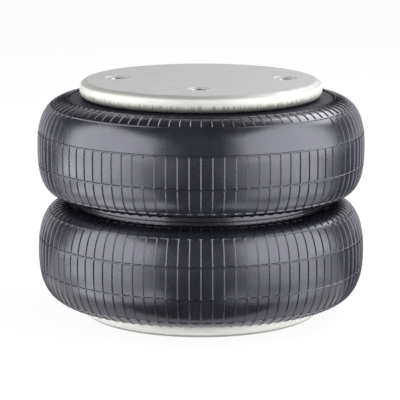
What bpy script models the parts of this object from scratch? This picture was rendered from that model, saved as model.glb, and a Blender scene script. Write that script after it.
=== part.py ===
"""Air bellows actuator with two convolutions.

Two steel plates are crimped round the wire-cored beads of a rubber bellows, and a rubber-covered
girdle ring sits in the waist between the convolutions. Blind nuts for the mounting bolts and a
threaded air port are fixed in the plates.

Metres, +Z up. The origin is the middle of the bottom plate's underside.
"""

import math

import bmesh
import bpy

OBJECT_NAME = "air_bellows_actuator"

# Over the whole object.
FREE_HEIGHT = 0.2232         # over both plates, with no air pressure
WAIST_BELOW_MIDDLE = 0.0008  # the girdle ring hangs this much below half height
CLEARANCE = 0.0003           # between pieces that touch

# Facets round the axis and along the curved stretches of each section.
SEGMENTS = 40                # a rib of the bellows lies on each corner between two facets
RIM_STEPS = 4
CURL_STEPS = 3
RIM_INSIDE_STEPS = 2
BEAD_STEPS = 3
SHOULDER_STEPS = 4
SHOULDER_INSIDE_STEPS = 2
TURN_STEPS = 1
GROOVE_STEPS = 2
GROOVE_INSIDE_STEPS = 1
GIRDLE_STEPS = 8
WIRE_SIDES = 6               # of the wire bundles' section
FITTING_SEGMENTS = 16        # round the nuts and the port

# Crimped bead plates.
PLATE_DIAMETER = 0.2286
SHEET = 0.0030               # thickness of the steel
SHOULDER_RADIUS = 0.0074     # from the flat face into the rim
CURL_RADIUS = 0.0063         # from the rim into the lip
LIP_GRIP = 0.0010            # how far the lip reaches past the middle of the bead
LIP_EDGE = 0.0008            # chamfer at the lip's lower edge
LIP_EDGE_ANGLE = 45.0        # degrees from the flat

# Beads of the bellows.
BEAD_WIRE_DIAMETER = 0.0056
BEAD_WRAP = 0.0017           # rubber and cord round the wire
WRAP_SLIT = 0.0006           # where the turned-up ply ends
SLIT_ANGLE = 130.0           # degrees from the outward direction

# Convolutions of the bellows.
WALL = 0.0055
OVERHANG = 0.0398            # crown beyond the plate's edge, without the ribs
CROWN_TO_WAIST = 0.0499      # along the axis
PLATE_SIDE_REACH = 0.0300    # crest on the plate side, inwards from the crown
PLATE_SIDE_POWER = 2.5       # squareness of that shoulder
FLANK_DROP = 0.0012          # from under the rim to that crest
WAIST_SIDE_REACH = 0.0255    # crest on the waist side, inwards from the crown
WAIST_SIDE_POWER = 2.4
SHOULDER_GAP = 0.0092        # between the two convolutions at their crests
CREST_RADIUS = 0.0053
CREST_END_ANGLE = 130.0      # where its round ends, in degrees from the outward direction
CREST_INSIDE_ANGLE = 30.0    # where the wall inside it turns towards the groove

# Moulded ribs on the convolutions: the main ones, about 22 mm apart.
RIB_HEIGHT = 0.0006
RIB_WIDTH = 0.0014
RIB_END_TURN = 88.6          # where the ribs end on the plate side, in degrees of that shoulder
BAND_HALF_ANGLE = 50.0       # no rib this side of it crosses the front of the upper convolution
BAND_ROWS = (3, 4)           # points of a rib, from its plate side, that the band keeps flat

# Girdle ring in the waist.
GIRDLE_INSET = 0.0023        # its centre line inside the plate's edge
GIRDLE_TUBE_RADIUS = 0.0070
GIRDLE_WIRE_RADIUS = 0.0040
GIRDLE_SLIT = 0.0006         # joint of the rubber strip, towards the axis
GROOVE_PLAY = 0.0022         # room above and below the ring
CHANNEL = 0.0050             # from the ring out to the ends of the ribs

# Fittings in the plates.
NUT_INSET = 0.0349           # from the plate's edge, which leaves the nuts 158.8 mm apart
NUT_LINE_OFFSET = 0.0080     # the line of the nuts behind the plate's middle
PORT_INSET = 0.0493          # from the plate's edge, 73 mm in front of that line
DIMPLE_DEPTH = 0.0012
NUT_DIMPLE_DIAMETER = 0.0240
NUT_SHANK_DIAMETER = 0.0154
NUT_BORE_DIAMETER = 0.0085   # core of an M10 thread
NUT_BORE_DEPTH = 0.0170
NUT_BODY_DIAMETER = 0.0170
NUT_FLANGE_DIAMETER = 0.0220
NUT_LENGTH = 0.0210
PORT_DIMPLE_DIAMETER = 0.0200
PORT_SHANK_DIAMETER = 0.0164
PORT_BORE_DIAMETER = 0.0118  # core of a G1/4 thread
PORT_BODY_DIAMETER = 0.0200
PORT_FLANGE_DIAMETER = 0.0250
PORT_LENGTH = 0.0170
FLANGE_THICKNESS = 0.0030
BORE_CHAMFER = 0.0010
CUT_THROUGH = 0.0060         # how far a seat's cutter reaches, past the sheet

MERGE_DISTANCE = 0.00001     # closes a turned shape on the axis
SAME_PLACE = 0.00003         # two points nearer than this are one corner of a section

# Worked out from the sizes above.
PLATE_RADIUS = PLATE_DIAMETER / 2
BEAD_WIRE_RADIUS = BEAD_WIRE_DIAMETER / 2
BEAD_RADIUS = BEAD_WIRE_RADIUS + CLEARANCE + BEAD_WRAP
BEAD_CENTRE_RADIUS = PLATE_RADIUS - SHEET - CLEARANCE - BEAD_RADIUS
BEAD_DEPTH = SHEET + CLEARANCE + BEAD_RADIUS
RIM_HEIGHT = BEAD_DEPTH + BEAD_RADIUS + CLEARANCE + SHEET
LIP_RADIUS = BEAD_CENTRE_RADIUS - LIP_GRIP
EXIT_RADIUS = LIP_RADIUS - CLEARANCE
CROWN_RADIUS = PLATE_RADIUS + OVERHANG
GIRDLE_RADIUS = PLATE_RADIUS - GIRDLE_INSET
RIB_END_RADIUS = GIRDLE_RADIUS + GIRDLE_TUBE_RADIUS + CHANNEL
GROOVE_HALF_HEIGHT = GIRDLE_TUBE_RADIUS + GROOVE_PLAY
WAIST_HEIGHT = FREE_HEIGHT / 2 - WAIST_BELOW_MIDDLE

# Materials, as colour, roughness and metallic value.
PLATE_STEEL = ((0.58, 0.58, 0.57, 1.0), 0.35, 1.0)
FITTING_STEEL = ((0.50, 0.49, 0.46, 1.0), 0.40, 1.0)
WIRE_STEEL = ((0.42, 0.40, 0.38, 1.0), 0.45, 1.0)
BELLOWS_RUBBER = ((0.035, 0.036, 0.042, 1.0), 0.55, 0.0)
GIRDLE_RUBBER = ((0.020, 0.020, 0.022, 1.0), 0.35, 0.0)


def clear_scene():
    """Removes every object, so that the script can be run again."""
    for item in list(bpy.data.objects):
        bpy.data.objects.remove(item, do_unlink=True)


def new_collection(name):
    """Makes a collection in the scene."""
    collection = bpy.data.collections.new(name)
    bpy.context.scene.collection.children.link(collection)
    return collection


def new_material(name, colour, roughness, metallic):
    """Makes a Principled material for one sub-part."""
    material = bpy.data.materials.new(name)
    material.use_nodes = True
    shader = material.node_tree.nodes["Principled BSDF"]
    shader.inputs["Base Color"].default_value = colour
    shader.inputs["Roughness"].default_value = roughness
    shader.inputs["Metallic"].default_value = metallic
    return material


def arc(centre, radius, first, last, steps):
    """Points (r, z) on a circle from one angle to another, in degrees, ends included."""
    angles = [math.radians(first + (last - first) * i / steps) for i in range(steps + 1)]
    return [(centre[0] + radius * math.cos(a), centre[1] + radius * math.sin(a)) for a in angles]


def turned(name, profile, collection, segments, closed):
    """Turns a profile (r, z) round the Z axis with a Screw modifier."""
    mesh = bpy.data.meshes.new(name)
    edges = [(i, i + 1) for i in range(len(profile) - 1)]
    if closed:
        edges.append((len(profile) - 1, 0))
    mesh.from_pydata([(r, 0.0, z) for r, z in profile], edges, [])
    item = bpy.data.objects.new(name, mesh)
    collection.objects.link(item)
    screw = item.modifiers.new("turn", "SCREW")
    screw.steps = segments
    screw.render_steps = segments
    screw.use_merge_vertices = True
    screw.merge_threshold = MERGE_DISTANCE
    screw.use_smooth_shade = True
    return item


def cut(item, cutter):
    """Cuts one solid out of another."""
    boolean = item.modifiers.new("cut_" + cutter.name, "BOOLEAN")
    boolean.object = cutter
    boolean.operation = "DIFFERENCE"
    boolean.solver = "EXACT"
    cutter.hide_render = True
    cutter.display_type = "WIRE"


def apply_modifiers(item):
    """Replaces an object's mesh by what its modifiers make of it."""
    depsgraph = bpy.context.evaluated_depsgraph_get()
    mesh = bpy.data.meshes.new_from_object(item.evaluated_get(depsgraph))
    item.modifiers.clear()
    item.data = mesh


def finish(item, look, parent):
    """Gives a sub-part its material and hangs it on its body's empty."""
    item.data.materials.append(new_material(item.name, *look))
    item.parent = parent


def body_empty(name, height, collection):
    """An empty on the axis that all joints slide along."""
    empty = bpy.data.objects.new(name, None)
    empty.empty_display_size = PLATE_RADIUS / 2
    empty.location = (0.0, 0.0, height)
    collection.objects.link(empty)
    return empty


def plate_profile():
    """Half section of a crimped plate, from the outer face, as (r, depth below that face)."""
    shoulder_centre = (PLATE_RADIUS - SHOULDER_RADIUS, SHOULDER_RADIUS)
    curl_centre = (PLATE_RADIUS - CURL_RADIUS, RIM_HEIGHT - CURL_RADIUS)
    points = [(0.0, 0.0)]
    points += arc(shoulder_centre, SHOULDER_RADIUS, -90, 0, RIM_STEPS)
    points += arc(curl_centre, CURL_RADIUS, 0, 90, CURL_STEPS)
    points += [(LIP_RADIUS + LIP_EDGE, RIM_HEIGHT), (LIP_RADIUS, RIM_HEIGHT - LIP_EDGE)]
    points += [(LIP_RADIUS, RIM_HEIGHT - SHEET)]
    points += arc(curl_centre, CURL_RADIUS - SHEET, 90, 0, RIM_INSIDE_STEPS)
    points += arc(shoulder_centre, SHOULDER_RADIUS - SHEET, 0, -90, RIM_INSIDE_STEPS)
    return points + [(0.0, SHEET)]


def fitting_places():
    """Where the two nuts and the port sit in a plate, as name, x and y."""
    half = PLATE_RADIUS - NUT_INSET
    nuts = [("nut_left", -half, NUT_LINE_OFFSET), ("nut_right", half, NUT_LINE_OFFSET)]
    return nuts, ("air_port", 0.0, PORT_INSET - PLATE_RADIUS)


def set_in_plate(item, place, top, parent):
    """Puts a fitting or its cutter, made with the plate's outer face at z = 0, in its plate."""
    item.parent = parent
    item.location = (place[1], place[2], 0.0)
    item.rotation_euler = (0.0, 0.0 if top else math.pi, 0.0)


def cut_seat(plate, place, shank_diameter, dimple_diameter, top, cutters):
    """Cuts the dimple and the through hole of one fitting into the plate's outer face."""
    hole = shank_diameter / 2 + CLEARANCE
    profile = [(0.0, SHEET), (dimple_diameter / 2, SHEET), (dimple_diameter / 2, 0.0)]
    profile += [(hole, -DIMPLE_DEPTH), (hole, -CUT_THROUGH), (0.0, -CUT_THROUGH)]
    cutter = turned(plate.name + "_" + place[0], profile, cutters, FITTING_SEGMENTS, False)
    set_in_plate(cutter, place, top, plate.parent)
    cut(plate, cutter)


def make_plate(name, top, collection, cutters, parent):
    """A crimped plate with the seats of its fittings, on its body's empty at the outer face."""
    profile = plate_profile()
    if top:
        profile = [(r, -depth) for r, depth in profile]
    else:
        profile.reverse()
    plate = turned(name, profile, collection, SEGMENTS, False)
    finish(plate, PLATE_STEEL, parent)
    nuts, port = fitting_places()
    for place in nuts:
        cut_seat(plate, place, NUT_SHANK_DIAMETER, NUT_DIMPLE_DIAMETER, top, cutters)
    if top:
        cut_seat(plate, port, PORT_SHANK_DIAMETER, PORT_DIMPLE_DIAMETER, top, cutters)


def fitting_outside(shank, flange, body, length):
    """Outer side of a nut or port, from its face in the dimple to its inner end."""
    face = -DIMPLE_DEPTH - CLEARANCE
    flange_top = -SHEET - CLEARANCE
    flange_end = flange_top - FLANGE_THICKNESS
    return [
        (shank / 2, face),
        (shank / 2, flange_top),
        (flange / 2, flange_top),
        (flange / 2, flange_end),
        (body / 2, flange_end),
        (body / 2, -length),
    ]


def nut_profile():
    """A blind nut: a threaded shank through the plate, a welded flange and a closed end."""
    face = -DIMPLE_DEPTH - CLEARANCE
    bore = NUT_BORE_DIAMETER / 2
    inside = [(0.0, -NUT_BORE_DEPTH), (bore, -NUT_BORE_DEPTH)]
    inside += [(bore, face - BORE_CHAMFER), (bore + BORE_CHAMFER, face)]
    outside = fitting_outside(NUT_SHANK_DIAMETER, NUT_FLANGE_DIAMETER, NUT_BODY_DIAMETER, NUT_LENGTH)
    return inside + outside + [(0.0, -NUT_LENGTH)]


def port_profile():
    """The air port: like a nut, with its bore open to the inside of the bellows."""
    face = -DIMPLE_DEPTH - CLEARANCE
    bore = PORT_BORE_DIAMETER / 2
    inside = [(bore, -PORT_LENGTH), (bore, face - BORE_CHAMFER), (bore + BORE_CHAMFER, face)]
    return inside + fitting_outside(
        PORT_SHANK_DIAMETER, PORT_FLANGE_DIAMETER, PORT_BODY_DIAMETER, PORT_LENGTH
    )


def hollow_radius(wire_radius):
    """Corners of the many-sided hollow round a wire bundle, whose flats clear the wire."""
    return (wire_radius + CLEARANCE) / math.cos(math.pi / WIRE_SIDES)


def bead_profile(plate_height, up):
    """Rubber round a bead wire, from the wall's inner side to where the wall leaves the lip.

    up is 1 for the top bead and -1 for the bottom one, whose points come in the same order.
    """
    centre = (BEAD_CENTRE_RADIUS, 0.0)
    hollow = hollow_radius(BEAD_WIRE_RADIUS)
    half_outside = math.degrees(WRAP_SLIT / 2 / BEAD_RADIUS)
    half_inside = math.degrees(WRAP_SLIT / 2 / hollow)
    exit_angle = -math.degrees(math.acos((EXIT_RADIUS - BEAD_CENTRE_RADIUS) / BEAD_RADIUS))
    points = arc(centre, BEAD_RADIUS, 180, SLIT_ANGLE + half_outside, 1)
    points += arc(centre, hollow, SLIT_ANGLE + half_inside, SLIT_ANGLE + 360 - half_inside, WIRE_SIDES)
    points += arc(centre, BEAD_RADIUS, SLIT_ANGLE - half_outside, exit_angle, BEAD_STEPS)
    return [(r, plate_height + up * (z - BEAD_DEPTH)) for r, z in points]


def shoulder(crown_height, reach, rise, power, inset, steps, extra=()):
    """Quarter of a superellipse from the crown of a convolution to its crest, crown left out.

    extra holds further turns, in degrees, besides the even steps.
    """
    radius = CROWN_RADIUS - inset
    points = []
    for degrees in sorted([90 * i / steps for i in range(1, steps + 1)] + list(extra)):
        turn = math.radians(degrees)
        across = max(math.cos(turn), 0.0) ** (2 / power)
        along = math.sin(turn) ** (2 / power)
        points.append((radius - reach * (1 - across), crown_height + rise * along))
    return points


def plate_side_outside(crown_height, edge_height, up):
    """Outer surface from the crown to where the rubber leaves the plate's lip."""
    under_lip = edge_height - up * CLEARANCE
    crest = under_lip - up * FLANK_DROP
    rise = crest - crown_height
    points = shoulder(
        crown_height, PLATE_SIDE_REACH, rise, PLATE_SIDE_POWER, 0.0, SHOULDER_STEPS, [RIB_END_TURN]
    )
    edge = LIP_EDGE + CLEARANCE * math.tan(math.radians(LIP_EDGE_ANGLE / 2))
    return points + [(EXIT_RADIUS + edge, under_lip), (EXIT_RADIUS, under_lip + up * edge)]


def plate_side_inside(crown_height, edge_height, up):
    """Inner surface from the crown to the beginning of the bead, with fewer facets."""
    ceiling = edge_height - up * (CLEARANCE + WALL)
    crest = ceiling - up * FLANK_DROP
    rise = crest - crown_height
    reach = PLATE_SIDE_REACH - WALL
    points = shoulder(crown_height, reach, rise, PLATE_SIDE_POWER, WALL, SHOULDER_INSIDE_STEPS)
    inner_wall = EXIT_RADIUS - WALL
    turn_centre = (EXIT_RADIUS + LIP_EDGE, ceiling + up * (WALL + LIP_EDGE))
    points += arc(turn_centre, WALL + LIP_EDGE, 270 if up > 0 else 90, 180, TURN_STEPS)
    return points + [(inner_wall, edge_height + up * SHEET)]


def waist_side_outside(crown_height, up):
    """Outer surface from the crown of a convolution to the root of the groove, root left out."""
    crest = WAIST_HEIGHT - up * SHOULDER_GAP / 2
    points = shoulder(
        crown_height, WAIST_SIDE_REACH, crest - crown_height, WAIST_SIDE_POWER, 0.0, SHOULDER_STEPS
    )
    crest_centre = (CROWN_RADIUS - WAIST_SIDE_REACH, crest - up * CREST_RADIUS)
    drop = WAIST_HEIGHT - up * GROOVE_HALF_HEIGHT
    points += arc(crest_centre, CREST_RADIUS, 90 * up, CREST_END_ANGLE * up, 1)[1:]
    points += [(RIB_END_RADIUS, drop)]
    return points + groove(0.0, up, GROOVE_STEPS)


def groove(inset, up, steps):
    """Quarter of an ellipse round the girdle ring, from its open side to just before the root."""
    across = GIRDLE_TUBE_RADIUS + CLEARANCE + inset
    along = GROOVE_HALF_HEIGHT + inset
    turns = [math.radians(90 * i / steps) for i in range(steps)]
    return [
        (GIRDLE_RADIUS - across * math.sin(t), WAIST_HEIGHT - up * along * math.cos(t)) for t in turns
    ]


def waist_side_inside(crown_height, up):
    """Inner surface from the crown of a convolution to just before the root of the groove."""
    crest = WAIST_HEIGHT - up * (SHOULDER_GAP / 2 + WALL)
    reach = WAIST_SIDE_REACH - WALL
    points = shoulder(
        crown_height, reach, crest - crown_height, WAIST_SIDE_POWER, WALL, SHOULDER_INSIDE_STEPS
    )
    corner = (RIB_END_RADIUS, WAIST_HEIGHT - up * GROOVE_HALF_HEIGHT)
    points += arc(corner, WALL, -CREST_INSIDE_ANGLE * up, -90 * up, 1)
    return points + groove(WALL, up, GROOVE_INSIDE_STEPS)


def bellows_profile():
    """The whole section of the bellows as one closed loop, outer side running down."""
    top_edge = FREE_HEIGHT - RIM_HEIGHT
    upper = WAIST_HEIGHT + CROWN_TO_WAIST
    lower = WAIST_HEIGHT - CROWN_TO_WAIST
    root = GIRDLE_RADIUS - GIRDLE_TUBE_RADIUS - CLEARANCE
    outside = plate_side_outside(upper, top_edge, 1)[::-1] + [(CROWN_RADIUS, upper)]
    outside += waist_side_outside(upper, -1) + [(root, WAIST_HEIGHT)]
    outside += waist_side_outside(lower, 1)[::-1] + [(CROWN_RADIUS, lower)]
    outside += plate_side_outside(lower, RIM_HEIGHT, -1)
    inside = plate_side_inside(lower, RIM_HEIGHT, -1)[::-1] + [(CROWN_RADIUS - WALL, lower)]
    inside += waist_side_inside(lower, 1) + [(root - WALL, WAIST_HEIGHT)]
    inside += waist_side_inside(upper, -1)[::-1] + [(CROWN_RADIUS - WALL, upper)]
    inside += plate_side_inside(upper, top_edge, 1)
    top_bead = bead_profile(FREE_HEIGHT, 1)
    bottom_bead = bead_profile(0.0, -1)[::-1]
    return top_bead + outside + bottom_bead + inside


def ribbed_stretch(crown_height, edge_height, up):
    """Points of the outer surface between which a rib runs, from its plate side to its waist side.

    The ribs have no height at the first and the last point.
    """
    plate_side = plate_side_outside(crown_height, edge_height, up)[:SHOULDER_STEPS + 1]
    waist_side = waist_side_outside(crown_height, -up)[:SHOULDER_STEPS + 1]
    points = plate_side[::-1] + [(CROWN_RADIUS, crown_height)] + waist_side
    return [(r, z - WAIST_HEIGHT) for r, z in points]


def row_of(vertex, stretch):
    """Which point of a stretch a vertex stems from, or None."""
    radius = math.hypot(vertex.co.x, vertex.co.y)
    for row, (r, z) in enumerate(stretch):
        if math.hypot(radius - r, vertex.co.z - z) < SAME_PLACE:
            return row
    return None


def in_band(vertex):
    """Whether a vertex lies in front, within the width of the smooth band."""
    return abs(math.degrees(math.atan2(vertex.co.x, -vertex.co.y))) < BAND_HALF_ANGLE


def raise_vertex(vertex, before, after, up):
    """Moves the top of a rib out of the surface, at right angles to the section."""
    along_r, along_z = after[0] - before[0], after[1] - before[1]
    reach = up * RIB_HEIGHT / math.hypot(along_r, along_z)
    widening = 1 - reach * along_z / math.hypot(vertex.co.x, vertex.co.y)
    vertex.co.x *= widening
    vertex.co.y *= widening
    vertex.co.z += reach * along_r


def mould_ribs(item, stretch, up, smooth_rows):
    """Splits the corners between facets into narrow ridges along a stretch and raises them.

    up is 1 for the upper convolution and -1 for the lower one. smooth_rows are the rows that
    stay flat in the band at the front.
    """
    shape = bmesh.new()
    shape.from_mesh(item.data)
    rows = {vertex: row_of(vertex, stretch) for vertex in shape.verts}
    ridges = []
    for edge in shape.edges:
        first, second = (rows[vertex] for vertex in edge.verts)
        if first is None or second is None or first == second:
            continue
        flat = first in smooth_rows and second in smooth_rows and in_band(edge.verts[0])
        if not flat:
            ridges.append(edge)
    made = bmesh.ops.bevel(
        shape, geom=ridges, offset=RIB_WIDTH / 2, offset_type="OFFSET", segments=2, profile=1.0,
        affect="EDGES",
    )
    for vertex in made["verts"]:
        row = row_of(vertex, stretch)
        if row in (None, 0, len(stretch) - 1) or (row in smooth_rows and in_band(vertex)):
            continue
        raise_vertex(vertex, stretch[row - 1], stretch[row + 1], up)
    shape.to_mesh(item.data)
    shape.free()


def girdle_cover_profile():
    """Rubber strip wrapped round the girdle wire, with its joint towards the axis."""
    centre = (GIRDLE_RADIUS, 0.0)
    hollow = hollow_radius(GIRDLE_WIRE_RADIUS)
    half_outside = math.degrees(GIRDLE_SLIT / 2 / GIRDLE_TUBE_RADIUS)
    half_inside = math.degrees(GIRDLE_SLIT / 2 / hollow)
    points = arc(centre, GIRDLE_TUBE_RADIUS, 180 - half_outside, half_outside - 180, GIRDLE_STEPS)
    return points + arc(centre, hollow, half_inside - 180, 180 - half_inside, WIRE_SIDES)


def make_wire(name, radius, height, thickness, collection, parent):
    """A ring of bundled steel wire with a many-sided section."""
    last = 90 - 360 * (WIRE_SIDES - 1) / WIRE_SIDES
    profile = arc((radius, height), thickness, 90, last, WIRE_SIDES - 1)
    wire = turned(name, profile, collection, SEGMENTS, True)
    finish(wire, WIRE_STEEL, parent)


def make_end(side, top, collection, cutters, parent):
    """One plate with what is fixed in it: bead wire, nuts and, at the top, the air port."""
    make_plate(side + "_plate", top, collection, cutters, parent)
    bead_height = -BEAD_DEPTH if top else BEAD_DEPTH
    make_wire(
        side + "_bead_wire", BEAD_CENTRE_RADIUS, bead_height, BEAD_WIRE_RADIUS, collection, parent
    )
    nuts, port = fitting_places()
    for place in nuts:
        nut = turned(side + "_" + place[0], nut_profile(), collection, FITTING_SEGMENTS, False)
        finish(nut, FITTING_STEEL, parent)
        set_in_plate(nut, place, top, parent)
    if top:
        fitting = turned(port[0], port_profile(), collection, FITTING_SEGMENTS, True)
        finish(fitting, FITTING_STEEL, parent)
        set_in_plate(fitting, port, top, parent)


def make_middle(collection, parent):
    """The bellows and the girdle ring, on the empty in the waist."""
    profile = [(r, z - WAIST_HEIGHT) for r, z in bellows_profile()]
    bellows = turned("bellows", profile, collection, SEGMENTS, True)
    apply_modifiers(bellows)
    upper = ribbed_stretch(WAIST_HEIGHT + CROWN_TO_WAIST, FREE_HEIGHT - RIM_HEIGHT, 1)
    lower = ribbed_stretch(WAIST_HEIGHT - CROWN_TO_WAIST, RIM_HEIGHT, -1)
    mould_ribs(bellows, upper, 1, BAND_ROWS)
    mould_ribs(bellows, lower, -1, ())
    finish(bellows, BELLOWS_RUBBER, parent)
    cover = turned("girdle_cover", girdle_cover_profile(), collection, SEGMENTS, True)
    finish(cover, GIRDLE_RUBBER, parent)
    make_wire("girdle_wire", GIRDLE_RADIUS, 0.0, GIRDLE_WIRE_RADIUS, collection, parent)


def main():
    """Builds every sub-part, grouped by the body that it moves with."""
    clear_scene()
    parts = new_collection(OBJECT_NAME)
    cutters = new_collection("cutters")
    make_end("bottom", False, parts, cutters, body_empty("base_frame", 0.0, parts))
    make_middle(parts, body_empty("girdle_frame", WAIST_HEIGHT, parts))
    make_end("top", True, parts, cutters, body_empty("top_frame", FREE_HEIGHT, parts))


main()
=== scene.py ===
import math

import bpy
import numpy as np
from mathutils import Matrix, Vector


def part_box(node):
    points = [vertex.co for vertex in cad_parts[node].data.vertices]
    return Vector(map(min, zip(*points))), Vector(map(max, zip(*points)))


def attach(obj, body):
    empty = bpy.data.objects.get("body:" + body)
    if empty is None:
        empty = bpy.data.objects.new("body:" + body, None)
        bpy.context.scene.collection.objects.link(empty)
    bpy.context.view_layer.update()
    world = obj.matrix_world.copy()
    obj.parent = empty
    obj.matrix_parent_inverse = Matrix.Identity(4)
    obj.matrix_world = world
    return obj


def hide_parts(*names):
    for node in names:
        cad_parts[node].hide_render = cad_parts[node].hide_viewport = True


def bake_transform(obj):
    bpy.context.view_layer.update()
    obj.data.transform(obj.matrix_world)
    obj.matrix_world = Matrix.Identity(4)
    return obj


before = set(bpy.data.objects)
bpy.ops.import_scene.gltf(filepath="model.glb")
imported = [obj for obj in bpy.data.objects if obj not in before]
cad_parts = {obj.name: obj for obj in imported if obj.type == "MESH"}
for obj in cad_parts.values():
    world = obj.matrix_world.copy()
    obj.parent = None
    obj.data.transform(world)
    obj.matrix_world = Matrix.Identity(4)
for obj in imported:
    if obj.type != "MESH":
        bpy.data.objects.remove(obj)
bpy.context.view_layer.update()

# Camera, fitted to the outlines in the photograph.
CAMERA_DISTANCE = 2.04836    # from the object's axis
CAMERA_HEIGHT = 0.512756
CAMERA_PITCH = 11.214        # degrees down
CAMERA_TURN = 1.7            # degrees round the axis, towards +X
CAMERA_SENSOR = 36.0         # mm
CAMERA_LENS = 197.23
CAMERA_SHIFT = -0.0025

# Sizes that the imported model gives.
FACE_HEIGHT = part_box("top_plate")[1].z
PLATE_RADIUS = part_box("top_plate")[1].x
RIM_HEIGHT = FACE_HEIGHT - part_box("top_plate")[0].z
GIRDLE_LOW, GIRDLE_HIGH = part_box("girdle_cover")
WAIST_HEIGHT = (GIRDLE_LOW.z + GIRDLE_HIGH.z) / 2
GIRDLE_TUBE_RADIUS = (GIRDLE_HIGH.z - GIRDLE_LOW.z) / 2
GIRDLE_RADIUS = GIRDLE_HIGH.x - GIRDLE_TUBE_RADIUS

# Section of the plates, as in the solids.
SHEET = 0.0030               # thickness of the steel
SHOULDER_RADIUS = 0.0074     # from the flat face into the rim
CURL_RADIUS = 0.0063         # from the rim into the lip
LIP_GRIP = 0.0010            # how far the lip reaches past the middle of the bead
LIP_EDGE = 0.0008            # chamfer at the lip's lower edge
LIP_EDGE_ANGLE = 45.0        # degrees
CLEARANCE = 0.0003           # between pieces that touch
PLATE_MIDDLE = 0.0040        # radius within which the face is one fan
FLAT_POINTS = 24
FLAT_END = 0.0020            # from the last of them to the rounded shoulder

# Seats of the fittings.
DIMPLE_DEPTH = 0.0012
DIMPLE_RUN = 0.0010          # over which a dimple's side goes down
DIMPLE_STEPS = 10
ABOVE_FACE = 0.00002         # where a dimple's side begins
CUT_THROUGH = 2 * SHEET
AXIS_GAP = 0.0005            # between the axis and the first points of a cutter or a blind end
NUT_DIMPLE = 0.0120          # radii
PORT_DIMPLE = 0.0100
NUT_HOLE = 0.0080
PORT_HOLE = 0.0085
NUTS = ("nut_left", "nut_right")

# Beads and wall of the bellows.
BEAD_WIRE_RADIUS = 0.0028
BEAD_WRAP = 0.0017           # rubber and cord round the wire
BEAD_RADIUS = BEAD_WIRE_RADIUS + CLEARANCE + BEAD_WRAP
BEAD_CENTRE_RADIUS = PLATE_RADIUS - SHEET - CLEARANCE - BEAD_RADIUS
BEAD_DEPTH = SHEET + CLEARANCE + BEAD_RADIUS
EXIT_RADIUS = BEAD_CENTRE_RADIUS - LIP_GRIP - CLEARANCE
SLIT_ANGLE = 130.0           # where the wrapped ply ends, in degrees from the outward direction
SLIT_HALF = 4.0              # degrees
WALL = 0.0055

# Convolutions. A reach is how far a crest lies inwards from the crown.
RIB_HEIGHT = 0.0008
CROWN_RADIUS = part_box("bellows")[1].x - RIB_HEIGHT
CROWN_TO_WAIST = 0.0499
PLATE_SIDE_REACH = 0.0300
PLATE_SIDE_POWER = 2.5       # squareness of a shoulder
FLANK_RISE = {True: 0.0012, False: -0.0016}     # above the lip; the lower convolution sags over it
WAIST_SIDE_REACH = 0.0255
WAIST_SIDE_POWER = {True: 2.8, False: 2.4}
CREST_TO_WAIST = {True: 0.0058, False: 0.0046}
CREST_RADIUS = 0.0053
CREST_END_ANGLE = 130.0      # degrees from the outward direction
GROOVE_PLAY = 0.0022         # room above and below the girdle ring
CHANNEL = 0.0050             # from that ring out to the corner of the groove
CORNER_END_ANGLE = -30.0     # where the wall's inner side leaves that corner

# Moulded ribs and ring lines.
RIB_COUNT = 92
FRONT = -90.0                # degrees at which -Y lies
RIB_PHASE = 1.7              # degrees from there to the first rib, towards +X
RIB_FOOT = 0.00074           # half widths at the crown
RIB_SHOULDER = 0.00046
RIB_ROUND = 0.62             # height at that shoulder, as a share
RIB_FADE = 0.0008            # over which a rib's end goes down
RIB_END_PLATE = 0.1262       # radii of the ring lines that the ribs end at
RIB_END_WAIST = 0.1245
RIBS_PAST_PLATE_RING = {True: 0.0015, False: 0.0040}
RIBS_PAST_WAIST_RING = 0.0012
RING_HEIGHT = 0.00080
RING_FOOT = 0.00090          # half widths
RING_TOP = 0.00036
TAIL_HEIGHT = 0.0009         # how much higher a rib ends on the plate side
TAIL_LENGTH = 0.0060
CROWN_RINGS = 0.0148         # from the crown, along the axis
SHOULDER_RINGS = 0.0388
BAND_FIRST_RIB = -14         # the smooth band on the upper convolution runs between these ribs
BAND_LAST_RIB = 14

# Fineness of the meshes.
ROW_STEP = 0.0024            # between the rows of a bellows half
FINE_ROW_STEP = 0.0011
FINE_BEFORE = 0.0040         # the fine rows begin this far before the last ring line
RING_ROOM = 1.6              # half widths of a ring line that its own rows need
NORMAL_STEP = 0.0004         # to both sides of a row, for the direction of the surface
LIP_POINTS = 2               # of a half's outer side, before its flank
SHOULDER_POINTS = 160
CREST_STEPS = 12
GROOVE_POINTS = 24
BEFORE_CREST = GROOVE_POINTS + CREST_STEPS + 4  # points from a little before the crest to the end
INSIDE_POINTS = 8            # of a shoulder's inner side
GROOVE_INSIDE_POINTS = 5
PLATE_SEGMENTS = 288
FITTING_SEGMENTS = 96
GIRDLE_SEGMENTS = 240

# Edges sharper than these, in degrees, are shaded sharp.
PLATE_SHARP = 40.0
FITTING_SHARP = 35.0
GIRDLE_SHARP = 30.0
FOOT_SHARP = 40.0            # where a rib meets the wall, while its top is round


def arc(centre, radius, first, last, steps):
    """Points (r, z) on a circle from one angle to another, in degrees, ends included."""
    angles = [math.radians(first + (last - first) * i / steps) for i in range(steps + 1)]
    return [(centre[0] + radius * math.cos(a), centre[1] + radius * math.sin(a)) for a in angles]


def link(name, mesh):
    """Puts a mesh in the scene as a smooth-shaded object."""
    item = bpy.data.objects.new(name, mesh)
    bpy.context.scene.collection.objects.link(item)
    mesh.shade_smooth()
    return item


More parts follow.
